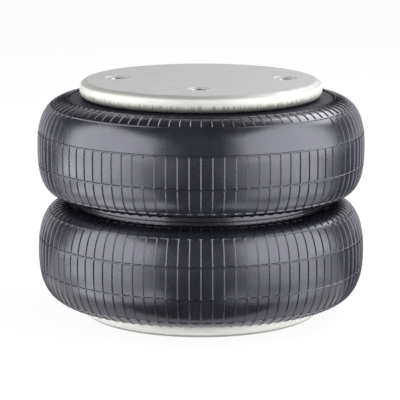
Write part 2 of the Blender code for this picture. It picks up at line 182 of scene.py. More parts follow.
def grid_mesh(name, points, closed):
    """A mesh from an array of points [row, column, xyz], which wraps round in its columns.

    closed joins the last row to the first. Otherwise the two end rows are closed with fans.
    """
    rows, columns = points.shape[:2]
    index = np.arange(rows * columns).reshape(rows, columns)
    after = np.roll(index, -1, axis=1)
    last = rows if closed else rows - 1
    below = np.roll(index, -1, axis=0)[:last]
    below_after = np.roll(after, -1, axis=0)[:last]
    quads = np.stack([index[:last], below, below_after, after[:last]], axis=-1).reshape(-1, 4)
    vertices = points.reshape(-1, 3).tolist()
    faces = quads.tolist()
    if not closed:
        for row, turn in ((0, 1), (rows - 1, -1)):
            vertices.append(points[row].mean(axis=0).tolist())
            centre = len(vertices) - 1
            for a, b in zip(index[row], after[row]):
                faces.append([centre, int(a), int(b)][::turn])
    mesh = bpy.data.meshes.new(name)
    mesh.from_pydata(vertices, [], faces)
    mesh.validate()
    return mesh


def turned(name, profile, segments, closed):
    """Turns a profile (r, z), whose outer side runs down, round the Z axis."""
    turn = np.linspace(0.0, 2 * math.pi, segments, endpoint=False)
    radius, height = np.array(profile).T
    points = np.stack([
        np.outer(radius, np.cos(turn)),
        np.outer(radius, np.sin(turn)),
        np.outer(height, np.ones(segments)),
    ], axis=-1)
    return link(name, grid_mesh(name, points, closed))


def settle(item):
    """Replaces an object's mesh by what its modifiers make of it."""
    depsgraph = bpy.context.evaluated_depsgraph_get()
    mesh = bpy.data.meshes.new_from_object(item.evaluated_get(depsgraph))
    item.modifiers.clear()
    item.data = mesh


def even_normals(item, angle):
    """Smooth shading that keeps flat faces flat, with edges sharper than the angle left sharp."""
    item.data.shade_smooth()
    item.data.set_sharp_from_angle(angle=math.radians(angle))
    weighted = item.modifiers.new("even_normals", "WEIGHTED_NORMAL")
    weighted.keep_sharp = True


# Materials.

class Nodes:
    """A node tree with helpers, each of which adds one node and returns its output."""

    def __init__(self, tree):
        self.tree = tree

    def join(self, source, target):
        """Links an output, or sets a plain value."""
        if isinstance(source, bpy.types.NodeSocket):
            self.tree.links.new(source, target)
        else:
            target.default_value = source

    def spread(self, value, low, high, first=0.0, last=1.0):
        """Maps low..high to first..last and clamps it."""
        node = self.tree.nodes.new("ShaderNodeMapRange")
        self.join(value, node.inputs["Value"])
        for name, number in zip(("From Min", "From Max", "To Min", "To Max"), (low, high, first, last)):
            node.inputs[name].default_value = number
        return node.outputs["Result"]

    def maths(self, operation, a, b):
        """What a Math node's operation makes of two values."""
        node = self.tree.nodes.new("ShaderNodeMath")
        node.operation = operation
        self.join(a, node.inputs[0])
        self.join(b, node.inputs[1])
        return node.outputs["Value"]

    def times(self, a, b):
        """The product of two values."""
        return self.maths("MULTIPLY", a, b)

    def mix(self, share, first, second, kind="RGBA"):
        """One colour, or one value, turning into another."""
        node = self.tree.nodes.new("ShaderNodeMix")
        node.data_type = kind
        self.join(share, node.inputs["Factor"])
        self.join(first, node.inputs["A"])
        self.join(second, node.inputs["B"])
        return node.outputs["Result"]


class Surface(Nodes):
    """A Principled material with helpers for its pattern."""

    def __init__(self, name, metallic, specular=0.5, tint=(1.0, 1.0, 1.0, 1.0)):
        self.material = bpy.data.materials.new(name)
        self.material.use_nodes = True
        super().__init__(self.material.node_tree)
        self.shader = self.tree.nodes["Principled BSDF"]
        self.shader.inputs["Metallic"].default_value = metallic
        self.shader.inputs["Specular IOR Level"].default_value = specular
        self.shader.inputs["Specular Tint"].default_value = tint
        self.place = self.tree.nodes.new("ShaderNodeTexCoord").outputs["Object"]

    def stretched(self, scale, shift=(0.0, 0.0, 0.0)):
        """The place on the object, scaled by axis and then shifted."""
        node = self.tree.nodes.new("ShaderNodeMapping")
        node.inputs["Location"].default_value = shift
        node.inputs["Scale"].default_value = scale
        self.join(self.place, node.inputs["Vector"])
        return node.outputs["Vector"]

    def noise(self, scale, detail=3.0, rough=0.5):
        """Noise between 0 and 1, with a scale in features a metre, one for all axes or one for each."""
        node = self.tree.nodes.new("ShaderNodeTexNoise")
        each = isinstance(scale, tuple)
        node.inputs["Scale"].default_value = 1.0 if each else scale
        node.inputs["Detail"].default_value = detail
        node.inputs["Roughness"].default_value = rough
        self.join(self.stretched(scale) if each else self.place, node.inputs["Vector"])
        return node.outputs["Fac"]

    def pattern(self, scale, detail, rough, low, high, first=0.0, last=1.0):
        """Noise of which low..high is spread over first..last."""
        return self.spread(self.noise(scale, detail, rough), low, high, first, last)

    def height(self):
        """Height in the object's frame."""
        node = self.tree.nodes.new("ShaderNodeSeparateXYZ")
        self.join(self.place, node.inputs["Vector"])
        return node.outputs["Z"]

    def length(self, vector):
        """Length of a vector."""
        node = self.tree.nodes.new("ShaderNodeVectorMath")
        node.operation = "LENGTH"
        self.join(vector, node.inputs[0])
        return node.outputs["Value"]

    def radius(self):
        """Distance from the axis."""
        return self.length(self.stretched((1.0, 1.0, 0.0)))

    def near(self, point, size):
        """1 at a point of the object, falling to 0 at a distance of size from it, by axis."""
        shift = [-p / s for p, s in zip(point, size)]
        return self.spread(self.length(self.stretched([1 / s for s in size], shift)), 1.0, 0.0)

    def finish(self, colour, roughness, bumps):
        """Joins the pattern to the shader. bumps holds (height, distance in metres) pairs."""
        self.join(colour, self.shader.inputs["Base Color"])
        self.join(roughness, self.shader.inputs["Roughness"])
        normal = None
        for height, distance in bumps:
            node = self.tree.nodes.new("ShaderNodeBump")
            node.inputs["Strength"].default_value = 1.0
            node.inputs["Distance"].default_value = distance
            self.join(height, node.inputs["Height"])
            if normal:
                self.join(normal, node.inputs["Normal"])
            normal = node.outputs["Normal"]
        self.join(normal, self.shader.inputs["Normal"])
        return self.material


NO_METAL = 0.0               # values of Metallic
DULL_ZINC = 0.6
BARE_METAL = 1.0

# Noises are (features a metre, detail, roughness). Patterns have two more numbers: the part of the
# noise that they spread.
NOISE_MIDDLE = (0.3, 0.7)    # most noise lies between these

RUBBER_TINT = (0.88, 0.88, 1.0, 1.0)            # of its highlights
RUBBERS = {                  # dull_inside is the radius within which the rubber is dull
    "bellows_rubber": {
        "colour": (0.0060, 0.0062, 0.0105, 1.0), "dust": (0.0170, 0.0175, 0.0260, 1.0),
        "rough": 0.27, "specular": 1.0, "grain": 0.000010, "dull_inside": RIB_END_PLATE,
    },
    "girdle_rubber": {
        "colour": (0.012, 0.012, 0.015, 1.0), "dust": (0.030, 0.030, 0.035, 1.0),
        "rough": 0.22, "specular": 0.9, "grain": 0.000004, "dull_inside": 0.0,
    },
}
DUST_FILM = (22.0, 5.0, 0.6, 0.42, 0.72)
DUST_SPECKS = (1500.0, 2.0, 0.6, 0.60, 0.78)
FILM_SHARE = 0.55            # of the dust's colour, where the film is thickest
SPECK_SHARE = 0.35
UNEVEN_SHINE = (60.0, 4.0, 0.6, 0.25, 0.75)
SMOOTHER = 0.045             # than a rubber's own roughness
ROUGHER = 0.055
DULL_HALF = 0.0008           # half the width over which it turns dull
DULL_ROUGHER = 0.30
DULL_SPECULAR = 0.3          # share of the specular that is left
FINE_GRAIN = (1100.0, 2.0)
COARSE_GRAIN = (90.0, 3.0)
COARSE_DEPTH = 2.0           # as against the fine grain's


def rubber(name, colour, dust, rough, specular, grain, dull_inside):
    """Moulded rubber: slightly uneven, with a thin film of dust and a fine grain."""
    s = Surface(name, NO_METAL, specular, RUBBER_TINT)
    shade = s.mix(s.times(s.pattern(*DUST_FILM), FILM_SHARE), colour, dust)
    shade = s.mix(s.times(s.pattern(*DUST_SPECKS), SPECK_SHARE), shade, dust)
    roughness = s.pattern(*UNEVEN_SHINE, rough - SMOOTHER, rough + ROUGHER)
    if dull_inside:
        dull = s.spread(s.radius(), dull_inside + DULL_HALF, dull_inside - DULL_HALF)
        roughness = s.maths("ADD", roughness, s.times(dull, DULL_ROUGHER))
        left = s.spread(dull, 0.0, 1.0, specular, specular * DULL_SPECULAR)
        s.join(left, s.shader.inputs["Specular IOR Level"])
    bumps = [(s.noise(*FINE_GRAIN), grain), (s.noise(*COARSE_GRAIN), grain * COARSE_DEPTH)]
    return s.finish(shade, roughness, bumps)


# The zones of a plate, by depth below its outer face.
LINE_FULL = 0.0004           # a darker line round the face, over its shoulder: painted shade for the shoulder's dark reflection
RIM_BEGIN = 0.0026
RIM_FULL = 0.0036
CRIMP_BEGIN = 0.0078
CRIMP_FULL = 0.0108
# painted shade: from here the underside of the curl darkens down to the lip
CURL_SHADE_BEGIN = 0.0086
CURL_SHADE_FULL = 0.0156
SUNK_BEGIN = 0.00005
SUNK_FULL = 0.0003
SEAT_FADE = 0.05             # share of a dimple's reach over which its zone begins

RUST_PLACE = (-0.0640, -0.0870, FACE_HEIGHT - 0.001)
RUST_SIZE = (0.009, 0.005, 0.004)
MOTTLE = (45.0, 5.0, 0.65, 0.35, 0.70)
CRIMP_STREAKS = ((620.0, 620.0, 12.0), 2.0, 0.6, 0.46, 0.62)
RUST_SPOTS = (500.0, 4.0, 0.7, 0.40, 0.60)
SCRATCHES = ((30.0, 700.0, 30.0), 2.0, 0.6, 0.60, 0.70)
PLATE_SHINE = (160.0, 4.0, 0.6)
PLATE_ROUGH = (0.46, 0.56)
PLATE_GRAIN = (700.0, 3.0)
PLATE_GRAIN_DEPTH = 0.00002
CRIMP_STREAK_DEPTH = 0.00010

FACE_SHADES = ((0.420, 0.420, 0.425, 1.0), (0.450, 0.450, 0.450, 1.0))
# The rims are brighter than the face. The bottom plate's rim is painted lighter than the top's: painted
# light.
RIM_SHADES_WITH_PAINTED_LIGHT = {
    True: ((0.600, 0.595, 0.567, 1.0), (0.550, 0.545, 0.517, 1.0)),
    # painted light on the bottom plate's rim
    False: ((0.830, 0.825, 0.800, 1.0), (0.780, 0.775, 0.750, 1.0)),
}
CRIMP_MARKS_AND_CURL_SHADE = {True: 1.0, False: 0.25}          # how strongly the crimping has marked each plate, and how strong the painted shade under its curl is
PLATE_MARKS_AND_PAINTED_SHADE = (              # zone, share, colour, in the order in which they cover each other
    # painted shade over the shoulder
    ("line", 0.75, (0.36, 0.38, 0.35, 1.0)),
    ("sunk", 1.0, (0.43, 0.43, 0.42, 1.0)),
    # painted shade under the curl
    ("curl_shade", 1.0, (0.06, 0.06, 0.055, 1.0)),
    ("streaks", 1.0, (0.20, 0.20, 0.185, 1.0)),
    ("rust", 0.8, (0.33, 0.22, 0.15, 1.0)),
)
PLATE_ROUGHER = {"rim": 0.20, "sunk": 0.10, "scratches": 0.06, "rust": 0.3}


def plate_zones(s, top, face, down, seats):
    """How much each point of a plate belongs to each zone, from 0 to 1."""
    depth = s.times(s.maths("SUBTRACT", face, s.height()), down)
    dimpled = 0.0
    for x, y, reach in seats:
        place = s.near((x, y, face), (reach, reach, SHEET))
        dimpled = s.maths("MAXIMUM", dimpled, s.spread(place, 0.0, SEAT_FADE))
    above_rim = s.spread(depth, RIM_FULL, RIM_BEGIN)
    crimp = s.spread(depth, CRIMP_BEGIN, CRIMP_FULL, 0.0, CRIMP_MARKS_AND_CURL_SHADE[top])
    return {
        "rim": s.spread(depth, RIM_BEGIN, RIM_FULL),
        # painted shade over the shoulder
        "line": s.times(s.spread(depth, 0.0, LINE_FULL), above_rim),
        "sunk": s.times(dimpled, s.spread(depth, SUNK_BEGIN, SUNK_FULL)),
        # painted shade under the curl
        "curl_shade": s.spread(depth, CURL_SHADE_BEGIN, CURL_SHADE_FULL, 0.0, CRIMP_MARKS_AND_CURL_SHADE[top]),
        "streaks": s.times(s.pattern(*CRIMP_STREAKS), crimp),
        "rust": s.times(s.near(RUST_PLACE, RUST_SIZE), s.pattern(*RUST_SPOTS)),
        "scratches": s.pattern(*SCRATCHES),
    }


def plate_steel(name, top, face, down, seats):
    """Zinc-plated sheet: grey and mottled on its face, brighter on its rim, marked by the crimping, with
    painted shade over its shoulder and under its curl, and painted light on the bottom plate's rim.
    """
    s = Surface(name, DULL_ZINC)
    zones = plate_zones(s, top, face, down, seats)
    mottle = s.pattern(*MOTTLE)
    colour = s.mix(zones["rim"], s.mix(mottle, *FACE_SHADES), s.mix(mottle, *RIM_SHADES_WITH_PAINTED_LIGHT[top]))
    for zone, share, shade in PLATE_MARKS_AND_PAINTED_SHADE:
        colour = s.mix(s.times(zones[zone], share), colour, shade)
    roughness = s.pattern(*PLATE_SHINE, *NOISE_MIDDLE, *PLATE_ROUGH)
    for zone, more in PLATE_ROUGHER.items():
        roughness = s.maths("ADD", roughness, s.times(zones[zone], more))
    bumps = [(s.noise(*PLATE_GRAIN), PLATE_GRAIN_DEPTH), (zones["streaks"], CRIMP_STREAK_DEPTH)]
    return s.finish(colour, roughness, bumps)


TOOL_MARKS = ((150.0, 150.0, 4000.0), 2.0, 0.6)
TOOL_MARK_DEPTH = 0.00001
FITTING_MOTTLE = (300.0, 3.0)
FITTING_SHADES = ((0.56, 0.54, 0.50, 1.0), (0.45, 0.44, 0.41, 1.0))
FITTING_ROUGH = (0.34, 0.46)


def fitting_steel(name):
    """Zinc-plated turned steel, with fine tool marks."""
    s = Surface(name, BARE_METAL)
    marks = s.noise(*TOOL_MARKS)
    shade = s.mix(s.noise(*FITTING_MOTTLE), *FITTING_SHADES)
    return s.finish(shade, s.spread(marks, *NOISE_MIDDLE, *FITTING_ROUGH), [(marks, TOOL_MARK_DEPTH)])


WIRE_STRANDS = ((200.0, 200.0, 2500.0), 2.0, 0.5)
STRAND_DEPTH = 0.00005
WIRE_SHADES = ((0.42, 0.40, 0.38, 1.0), (0.30, 0.29, 0.27, 1.0))
WIRE_ROUGH = (0.35, 0.50)


def wire_steel(name):
    """Drawn wire of the bead and girdle cores."""
    s = Surface(name, BARE_METAL)
    strands = s.noise(*WIRE_STRANDS)
    shade = s.mix(strands, *WIRE_SHADES)
    return s.finish(shade, s.spread(strands, *NOISE_MIDDLE, *WIRE_ROUGH), [(strands, STRAND_DEPTH)])


# Plates.

def plate_profile():
    """Half section of a crimped plate, from the outer face, as (r, depth below that face)."""
    shoulder_centre = (PLATE_RADIUS - SHOULDER_RADIUS, SHOULDER_RADIUS)
    curl_centre = (PLATE_RADIUS - CURL_RADIUS, RIM_HEIGHT - CURL_RADIUS)
    lip_radius = BEAD_CENTRE_RADIUS - LIP_GRIP
    flat_end = PLATE_RADIUS - SHOULDER_RADIUS - FLAT_END
    points = [(r, 0.0) for r in np.linspace(PLATE_MIDDLE, flat_end, FLAT_POINTS)]
    points += arc(shoulder_centre, SHOULDER_RADIUS, -90, 0, steps=16)
    points += arc(curl_centre, CURL_RADIUS, 0, 90, steps=14)
    points += [(lip_radius + LIP_EDGE, RIM_HEIGHT), (lip_radius, RIM_HEIGHT - LIP_EDGE)]
    points += [(lip_radius, RIM_HEIGHT - SHEET)]
    points += arc(curl_centre, CURL_RADIUS - SHEET, 90, 0, steps=8)
    points += arc(shoulder_centre, SHOULDER_RADIUS - SHEET, 0, -90, steps=8)
    return points + [(PLATE_MIDDLE, SHEET)]


def dimple_profile(hole, dimple):
    """Cutter for a fitting's seat, whose outer side runs down, with the plate's face at z = 0."""
    points = [(AXIS_GAP, SHEET), (dimple + DIMPLE_RUN, SHEET), (dimple, ABOVE_FACE)]
    for i in range(1, DIMPLE_STEPS + 1):
        share = i / DIMPLE_STEPS
        drop = DIMPLE_DEPTH * (1 - math.cos(math.pi * share)) / 2
        points.append((dimple - DIMPLE_RUN * share, ABOVE_FACE - drop))
    return points + [(hole, ABOVE_FACE - DIMPLE_DEPTH), (hole, -CUT_THROUGH), (AXIS_GAP, -CUT_THROUGH)]


def seat_of(node):
    """Middle of a fitting, from its solid's box."""
    low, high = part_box(node)
    return (low.x + high.x) / 2, (low.y + high.y) / 2


def put_in_seat(item, node, top):
    """Moves an item to a fitting's place in its plate's face, turned over for the bottom plate."""
    x, y = seat_of(node)
    item.location = (x, y, FACE_HEIGHT if top else 0.0)
    item.rotation_euler = (0.0 if top else math.pi, 0.0, 0.0)


def make_plate(name, node, top, fittings):
    """One crimped plate, with a rounded dimple and a hole for each of its fittings."""
    face, down = (FACE_HEIGHT, 1.0) if top else (0.0, -1.0)
    profile = [(r, face - down * depth) for r, depth in plate_profile()]
    plate = turned(name, profile if top else profile[::-1], PLATE_SEGMENTS, False)
    cutters = []
    for fitting, hole, dimple in fittings:
        cutter = turned("cutter_" + fitting, dimple_profile(hole, dimple), FITTING_SEGMENTS, False)
        put_in_seat(cutter, fitting, top)
        boolean = plate.modifiers.new("seat", "BOOLEAN")
        boolean.object = cutter
        boolean.solver = "EXACT"
        cutters.append(cutter)
    settle(plate)
    for cutter in cutters:
        bpy.data.objects.remove(cutter)
    even_normals(plate, PLATE_SHARP)
    plate.data.materials.clear()
    seats = [(*seat_of(fitting), dimple + DIMPLE_RUN) for fitting, _, dimple in fittings]
    plate.data.materials.append(plate_steel(name, top, face, down, seats))
    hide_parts(node)
    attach(plate, "top" if top else "base")


def make_plates():
    """Both plates."""
    top = [("top_" + nut, NUT_HOLE, NUT_DIMPLE) for nut in NUTS] + [("air_port", PORT_HOLE, PORT_DIMPLE)]
    make_plate("top_plate_sheet", "top_plate", True, top)
    bottom = [("bottom_" + nut, NUT_HOLE, NUT_DIMPLE) for nut in NUTS]
    make_plate("bottom_plate_sheet", "bottom_plate", False, bottom)


# Fittings.

NUT_SIZES = {                # radii, but for length, pitch and depth; thread is the depth of its cut
    "shank": 0.0077, "flange": 0.0110, "body": 0.0085, "length": 0.0210,
    "core": 0.00425, "thread": 0.00075, "pitch": 0.0015, "depth": 0.0170,
}
PORT_SIZES = {
    "shank": 0.0082, "flange": 0.0125, "body": 0.0100, "length": 0.0170,
    "core": 0.0059, "thread": 0.00065, "pitch": 0.001337, "depth": 0.0170,
}
FLANGE_THICKNESS = 0.0030
BORE_CHAMFER = 0.0016
EDGE_BREAK = 0.0004
BLIND_END = 0.0006           # how much deeper the middle of a blind bore's end is
THREAD_ROWS = 8              # rows of points for each turn of thread
THREAD_SLOPE = 1.3           # steepness of its flanks, for flats at root and crest
THREAD_FLAT = 0.15


def fitting_outside(size):
    """Outer side of a fitting below its face, with broken edges, as (r, z)."""
    face = -DIMPLE_DEPTH - CLEARANCE
    flange_top = -SHEET - CLEARANCE
    flange_end = flange_top - FLANGE_THICKNESS
    return [
        (size["core"] + BORE_CHAMFER, face), (size["shank"] - EDGE_BREAK, face),
        (size["shank"], face - EDGE_BREAK), (size["shank"], flange_top),
        (size["flange"] - EDGE_BREAK, flange_top), (size["flange"], flange_top - EDGE_BREAK),
        (size["flange"], flange_end + EDGE_BREAK), (size["flange"] - EDGE_BREAK, flange_end),
        (size["body"], flange_end), (size["body"], -size["length"] + EDGE_BREAK),
        (size["body"] - EDGE_BREAK, -size["length"]),
    ]


def thread_points(size, turn):
    """Points of an internal thread, from the bottom of the bore up, as arrays of r and z."""
    top = -DIMPLE_DEPTH - CLEARANCE - BORE_CHAMFER
    count = int((size["depth"] + top) / size["pitch"] * THREAD_ROWS)
    heights = np.linspace(-size["depth"], top, count)
    phase = heights[:, None] / size["pitch"] - turn[None, :] / (2 * math.pi)
    saw = np.abs(2 * (phase - np.floor(phase)) - 1)
    cut = np.clip(saw * THREAD_SLOPE - THREAD_FLAT, 0.0, 1.0) * size["thread"]
    fade = np.clip(np.minimum(heights + size["depth"], top - heights) / size["pitch"], 0.0, 1.0)
    radius = size["core"] + cut * fade[:, None]
    return radius, np.repeat(heights[:, None], len(turn), axis=1)


def make_fitting(name, node, size, body, top, through):
    """A nut or the port: turned steel with a real thread in its bore."""
    turn = np.linspace(0.0, 2 * math.pi, FITTING_SEGMENTS, endpoint=False)
    ones = np.ones(FITTING_SEGMENTS)
    radius, height = thread_points(size, turn)
    outside = np.array(fitting_outside(size))
    if not through:
        radius = np.vstack([AXIS_GAP * ones, radius])
        height = np.vstack([(-size["depth"] - BLIND_END) * ones, height])
        outside = np.vstack([outside, [(AXIS_GAP, -size["length"])]])
    radius = np.vstack([radius, np.outer(outside[:, 0], ones)])
    height = np.vstack([height, np.outer(outside[:, 1], ones)])
    points = np.stack([radius * np.cos(turn), radius * np.sin(turn), height], axis=-1)
    item = link(name, grid_mesh(name, points, through))
    put_in_seat(item, node, top)
    even_normals(item, FITTING_SHARP)
    item.data.materials.append(fitting_steel(name))
    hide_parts(node)
    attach(item, body)


def make_fittings():
    """The four blind nuts and the air port."""
    for side, body, top in (("top", "top", True), ("bottom", "base", False)):
        for nut in NUTS:
            node = side + "_" + nut
            make_fitting(node + "_turned", node, NUT_SIZES, body, top, False)
    make_fitting("air_port_turned", "air_port", PORT_SIZES, "top", True, True)


# Bellows. A half is worked out as if its plate were below and the waist above. An inset is how far
# a line lies inside the outer side.

def shoulder(crown, reach, rise, power, inset, count):
    """Quarter of a superellipse from the crown of a convolution to its crest."""
    turns = np.radians(np.linspace(0.0, 90.0, count))
    across = np.clip(np.cos(turns), 0.0, 1.0) ** (2 / power)
    along = np.sin(turns) ** (2 / power)
    return list(zip(CROWN_RADIUS - inset - reach * (1 - across), crown + rise * along))


def groove(waist, inset, count):
    """Under the girdle ring, from the open side of the groove to its root."""
    across = GIRDLE_TUBE_RADIUS + CLEARANCE + inset
    along = GIRDLE_TUBE_RADIUS + GROOVE_PLAY + inset
    turns = np.radians(np.linspace(0.0, 90.0, count))
    return list(zip(GIRDLE_RADIUS - across * np.sin(turns), waist - along * np.cos(turns)))


def groove_corner(waist):
    """Where the wall turns from its crest into the groove."""
    return GIRDLE_RADIUS + GIRDLE_TUBE_RADIUS + CHANNEL, waist - GIRDLE_TUBE_RADIUS - GROOVE_PLAY


def half_outside(waist, upper):
    """Outer side of a half of the bellows, from the plate's lip to the root of the groove."""
    crown = waist - CROWN_TO_WAIST
    under_lip = RIM_HEIGHT + CLEARANCE
    edge = LIP_EDGE + CLEARANCE * math.tan(math.radians(LIP_EDGE_ANGLE / 2))
    points = [(EXIT_RADIUS, under_lip - edge), (EXIT_RADIUS + edge, under_lip)]
    rise = under_lip + FLANK_RISE[upper] - crown
    points += shoulder(crown, PLATE_SIDE_REACH, rise, PLATE_SIDE_POWER, 0.0, SHOULDER_POINTS)[::-1]
    crest = waist - CREST_TO_WAIST[upper]
    rise = crest - crown
    points += shoulder(crown, WAIST_SIDE_REACH, rise, WAIST_SIDE_POWER[upper], 0.0, SHOULDER_POINTS)[1:]
    centre = (CROWN_RADIUS - WAIST_SIDE_REACH, crest - CREST_RADIUS)
    points += arc(centre, CREST_RADIUS, 90, CREST_END_ANGLE, CREST_STEPS)[1:]
    return np.array(points + [groove_corner(waist)] + groove(waist, 0.0, GROOVE_POINTS))


def half_inside(waist, upper):
    """Inner side of a half, from the root of the groove back to the bead."""
    crown = waist - CROWN_TO_WAIST
    points = groove(waist, WALL, GROOVE_INSIDE_POINTS)[::-1]
    points += arc(groove_corner(waist), WALL, -90, CORNER_END_ANGLE, steps=3)
    shorter = WALL - RIB_HEIGHT     # than the outer side's reach
    rise = waist - CREST_TO_WAIST[upper] - WALL - crown
    reach = WAIST_SIDE_REACH - shorter
    points += shoulder(crown, reach, rise, WAIST_SIDE_POWER[upper], WALL, INSIDE_POINTS)[::-1]
    ceiling = RIM_HEIGHT + CLEARANCE + WALL
    rise = ceiling + FLANK_RISE[upper] - crown
    reach = PLATE_SIDE_REACH - shorter
    points += shoulder(crown, reach, rise, PLATE_SIDE_POWER, WALL, INSIDE_POINTS)[1:]
    turn_centre = (EXIT_RADIUS + LIP_EDGE, ceiling - WALL - LIP_EDGE)
    points += arc(turn_centre, WALL + LIP_EDGE, 90, 180, steps=5)
    return np.array(points + [(EXIT_RADIUS - WALL, RIM_HEIGHT - SHEET)])


def bead_rows():
    """Rubber round the bead wire, from the inner side of the wall to where it leaves the lip."""
    centre = (BEAD_CENTRE_RADIUS, BEAD_DEPTH)
    hollow = BEAD_WIRE_RADIUS + CLEARANCE
    exit_angle = math.degrees(math.acos((EXIT_RADIUS - BEAD_CENTRE_RADIUS) / BEAD_RADIUS))
    points = arc(centre, BEAD_RADIUS, -180, -SLIT_ANGLE - SLIT_HALF, steps=3)
    points += arc(centre, hollow, -SLIT_ANGLE - SLIT_HALF, -SLIT_ANGLE - 360 + SLIT_HALF, steps=16)
    points += arc(centre, BEAD_RADIUS, -SLIT_ANGLE + SLIT_HALF, exit_angle, steps=12)
    return np.array(points)


def along_path(path):
    """Length of a path up to each of its points."""
    return np.concatenate([[0.0], np.cumsum(np.hypot(*np.diff(path, axis=0).T))])


def ring_places(path, length, waist):
    """Where the ring lines lie along the outer side, from the plate's lip to the waist."""
    crown = waist - CROWN_TO_WAIST
    top = int(np.argmax(path[:, 0]))
    flank = slice(LIP_POINTS, top)
    places = [np.interp(RIB_END_PLATE, path[flank, 0], length[flank])]
    rising = slice(LIP_POINTS, -BEFORE_CREST)
    for offset in (-SHOULDER_RINGS, -CROWN_RINGS, CROWN_RINGS, SHOULDER_RINGS):
        places.append(np.interp(crown + offset, path[rising, 1], length[rising]))
    past = slice(top, -GROOVE_POINTS - 1)
    places.append(np.interp(-RIB_END_WAIST, -path[past, 0], length[past]))
    return places


def row_places(length, rings):
    """Where the rows of points lie: evenly, finer in the groove, and four at each ring line."""
    fine_from = rings[-1] - FINE_BEFORE
    rows = np.concatenate([
        np.arange(0.0, fine_from, ROW_STEP),
        np.arange(fine_from, length[-1], FINE_ROW_STEP),
        [length[-1]],
    ])
    for ring in rings:
        rows = rows[np.abs(rows - ring) > RING_FOOT * RING_ROOM]
    extra = [ring + side * part for ring in rings for side in (-1, 1) for part in (RING_TOP, RING_FOOT)]
    return np.sort(np.concatenate([rows, extra]))


def rib_columns():
    """Angle of each column of points, in turns of one rib, and how much rib it carries."""
    foot = math.degrees(RIB_FOOT / CROWN_RADIUS) * RIB_COUNT / 360
    side = math.degrees(RIB_SHOULDER / CROWN_RADIUS) * RIB_COUNT / 360
    one = [(-foot, 0.0), (-side, RIB_ROUND), (0.0, 1.0), (side, RIB_ROUND), (foot, 0.0)]
    one += [(1 / 3, 0.0), (2 / 3, 0.0)]     # plain columns up to the next rib
    offsets = np.array([[rib + place for place, _ in one] for rib in range(RIB_COUNT)]).ravel()
    heights = np.tile([height for _, height in one], RIB_COUNT)
    return offsets, heights


def rib_relief(rows, rings, upper):
    """How far each point of the outer side stands out, as an array [row, column], and the columns."""
    offsets, heights = rib_columns()
    start, end = rings[0] - RIBS_PAST_PLATE_RING[upper], rings[-1] + RIBS_PAST_WAIST_RING
    along = np.clip(np.minimum(rows - start, end - rows) / RIB_FADE, 0.0, 1.0)
    tail = np.clip(1 - (rows - start) / TAIL_LENGTH, 0.0, 1.0) * TAIL_HEIGHT
    ribs = np.outer(along * (RIB_HEIGHT + tail), heights)
    if upper:
        number = (offsets + RIB_COUNT / 2) % RIB_COUNT - RIB_COUNT / 2
        inside = (number > BAND_FIRST_RIB + 0.5) & (number < BAND_LAST_RIB - 0.5)
        band = (rows > rings[1]) & (rows < rings[2])
        ribs[np.ix_(band, inside)] = 0.0
    near = np.min(np.abs(rows[:, None] - np.array(rings)[None, :]), axis=1)
    ring = np.clip((RING_FOOT - near) / (RING_FOOT - RING_TOP), 0.0, 1.0) * RING_HEIGHT
    return np.maximum(ribs, ring[:, None]), offsets


def moved_out(path, length, rows, relief):
    """The outer side's rows, moved out by their relief, as arrays [row, column] of r and z."""
    def at(places):
        return np.stack([np.interp(places, length, path[:, k]) for k in (0, 1)], axis=-1)

    outer = at(rows)
    along = at(rows + NORMAL_STEP) - at(rows - NORMAL_STEP)
    normal = np.stack([along[:, 1], -along[:, 0]], axis=-1) / np.hypot(*along.T)[:, None]
    return outer[:, :1] + relief * normal[:, :1], outer[:, 1:] + relief * normal[:, 1:]


def half_points(waist, upper):
    """Points of a half, as an array [row, column, xyz]: its outer side, inner side and bead."""
    path = half_outside(waist, upper)
    length = along_path(path)
    rings = ring_places(path, length, waist)
    rows = row_places(length, rings)
    relief, offsets = rib_relief(rows, rings, upper)
    radius, height = moved_out(path, length, rows, relief)
    plain = np.concatenate([half_inside(waist, upper), bead_rows()])
    radius = np.vstack([radius, np.repeat(plain[:, :1], len(offsets), axis=1)])
    height = np.vstack([height, np.repeat(plain[:, 1:], len(offsets), axis=1)])
    if upper:
        height = FACE_HEIGHT - height
    turn = np.radians(FRONT + RIB_PHASE + offsets * 360 / RIB_COUNT)
    points = np.stack([radius * np.cos(turn), radius * np.sin(turn), height], axis=-1)
    return points if upper else points[::-1]


def make_half(name, upper, material):
    """One convolution with its bead: outer side with ribs, inner side, and a seam in the waist."""
    waist = FACE_HEIGHT - WAIST_HEIGHT if upper else WAIST_HEIGHT
    item = link(name, grid_mesh(name, half_points(waist, upper), True))
    item.data.set_sharp_from_angle(angle=math.radians(FOOT_SHARP))
    item.data.materials.append(material)
    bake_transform(item)
    return item


def make_bellows():
    """Both halves of the bellows, which meet behind the girdle ring."""
    material = rubber("bellows_rubber", **RUBBERS["bellows_rubber"])
    lower = make_half("lower_convolution", False, material)
    make_half("upper_convolution", True, material)
    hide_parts("bellows")


# Girdle ring.

PARTING_DEPTH = 0.0007       # of the groove between the ring's two bands
PARTING_EDGE = 0.0007        # half widths of that groove
PARTING_FLOOR = 0.0003
PARTING_DROP = 0.0014        # it lies this far below the ring's middle
BAND_TILT = 6.0              # degrees by which both bands lean back
BAND_STEP = PARTING_EDGE / 4    # how far the upper band's lower edge stands back
LOW_CORNER = 0.0022          # radii of the bands' outer corners
HIGH_CORNER = 0.0028
GIRDLE_SLIT_HALF = 2.5       # degrees
GIRDLE_WIRE_RADIUS = 0.0040


